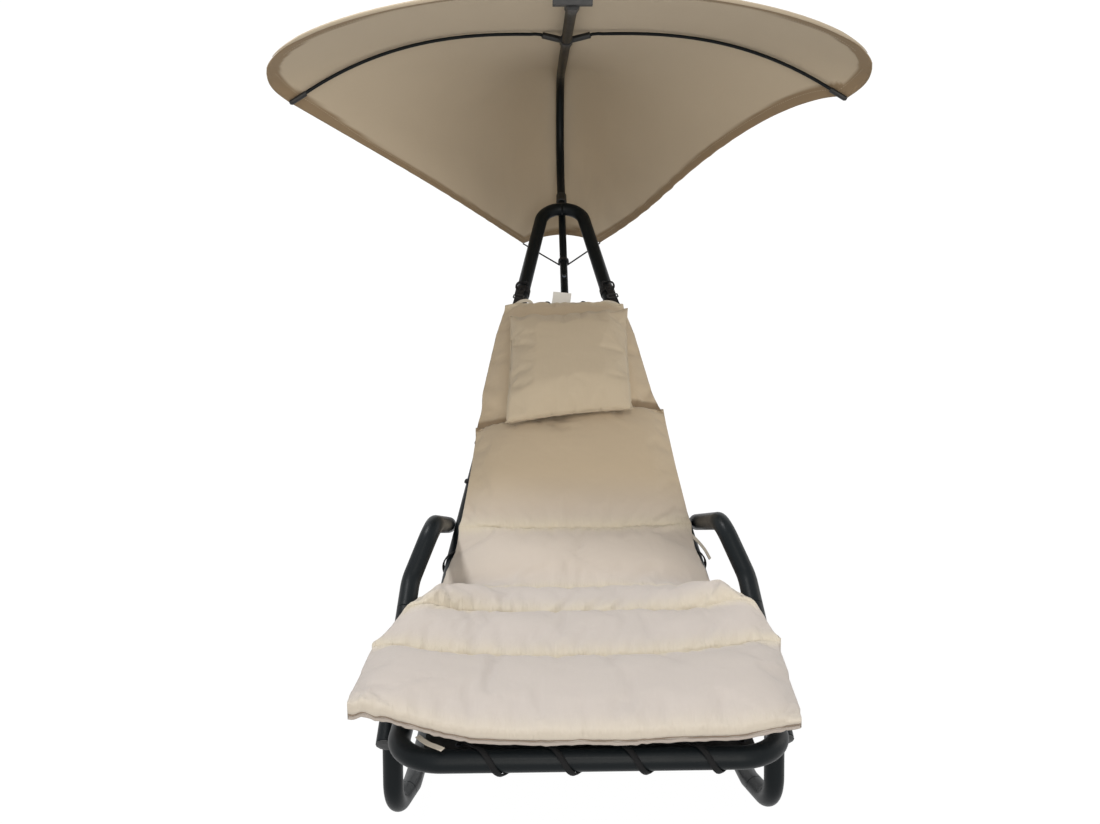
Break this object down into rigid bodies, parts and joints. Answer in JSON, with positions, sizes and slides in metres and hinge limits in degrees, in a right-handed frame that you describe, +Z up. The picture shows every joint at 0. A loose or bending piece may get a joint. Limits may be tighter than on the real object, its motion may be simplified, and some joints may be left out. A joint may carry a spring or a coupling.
{
  "type": "sun lounger with canopy",
  "caption": "Rocking garden lounger of bent steel tube with a laced sling, channelled cushion, head pillow and a leaf-shaped sunshade on a hooked pole",
  "frame": {"origin": "middle of the underside of the whole object's bounding box, on the floor", "axes": "+X to the right of someone who faces the foot end, +Y from the foot end to the head end, +Z up"},
  "size_m": [1.3688, 2.0312, 1.6396],
  "materials": {
    "powder_coated_steel": "satin powder coat, anthracite",
    "black_plastic": "matte black",
    "bolt_metal": "blackened domed bolts",
    "elastic_cord": "black braided elastic cord",
    "strap_webbing": "black woven webbing",
    "sling_mesh": "black woven sling fabric",
    "cushion_cloth": "beige woven polyester",
    "pillow_cloth": "beige woven polyester",
    "canopy_cloth": "beige woven polyester, slightly translucent"
  },
  "bodies": {
    "lounger": {"foot_hoop_tube": "powder_coated_steel", "side_frame_tube_left": "powder_coated_steel", "side_frame_tube_right": "powder_coated_steel", "head_arch_tube": "powder_coated_steel", "armrest_tube_left": "powder_coated_steel", "armrest_tube_right": "powder_coated_steel", "side_rail_tube_left": "powder_coated_steel", "side_rail_tube_right": "powder_coated_steel", "front_leg_tube_left": "powder_coated_steel", "front_leg_tube_right": "powder_coated_steel", "runner_tube_left": "powder_coated_steel", "runner_tube_right": "powder_coated_steel", "rear_leg_tube_left": "powder_coated_steel", "rear_leg_tube_right": "powder_coated_steel", "rear_leg_stub_left": "powder_coated_steel", "rear_leg_stub_right": "powder_coated_steel", "front_stretcher": "powder_coated_steel", "rear_stretcher": "powder_coated_steel", "knee_crossbar": "powder_coated_steel", "seat_crossbar": "powder_coated_steel", "back_crossbar": "powder_coated_steel", "head_crossbar": "powder_coated_steel", "mast_tube": "powder_coated_steel", "armrest_cap_left": "black_plastic", "armrest_cap_right": "black_plastic", "side_rail_cap_left": "black_plastic", "side_rail_cap_right": "black_plastic", "mast_collar": "black_plastic", "armrest_bolt_left": "bolt_metal", "armrest_bolt_right": "bolt_metal", "side_rail_bolt_left": "bolt_metal", "side_rail_bolt_right": "bolt_metal", "front_stretcher_screw_left": "bolt_metal", "front_stretcher_screw_right": "bolt_metal", "rear_stretcher_screw_left": "bolt_metal", "rear_stretcher_screw_right": "bolt_metal", "mast_screw": "bolt_metal", "lacing_left": "elastic_cord", "lacing_right": "elastic_cord", "lacing_foot": "elastic_cord", "lacing_head": "elastic_cord", "sling": "sling_mesh", "seat_cushion": "cushion_cloth", "head_pillow": "pillow_cloth", "cushion_strap_left": "strap_webbing", "cushion_strap_right": "strap_webbing"},
    "canopy": {"canopy_pole": "powder_coated_steel", "canopy_cover": "canopy_cloth", "canopy_front_hem": "canopy_cloth", "bow_hub": "black_plastic", "bow_rod_left": "powder_coated_steel", "bow_rod_right": "powder_coated_steel", "bow_tip_cap_left": "black_plastic", "bow_tip_cap_right": "black_plastic", "front_clip": "black_plastic", "cord_ring": "black_plastic", "tension_cord_left": "elastic_cord", "tension_cord_right": "elastic_cord"}
  },
  "joints": [
    {"name": "canopy_lift", "type": "slide", "parent": "lounger", "child": "canopy", "axis": [0, 0.7815, 0.6239], "range_m": [0, 0.13]}
  ]
}
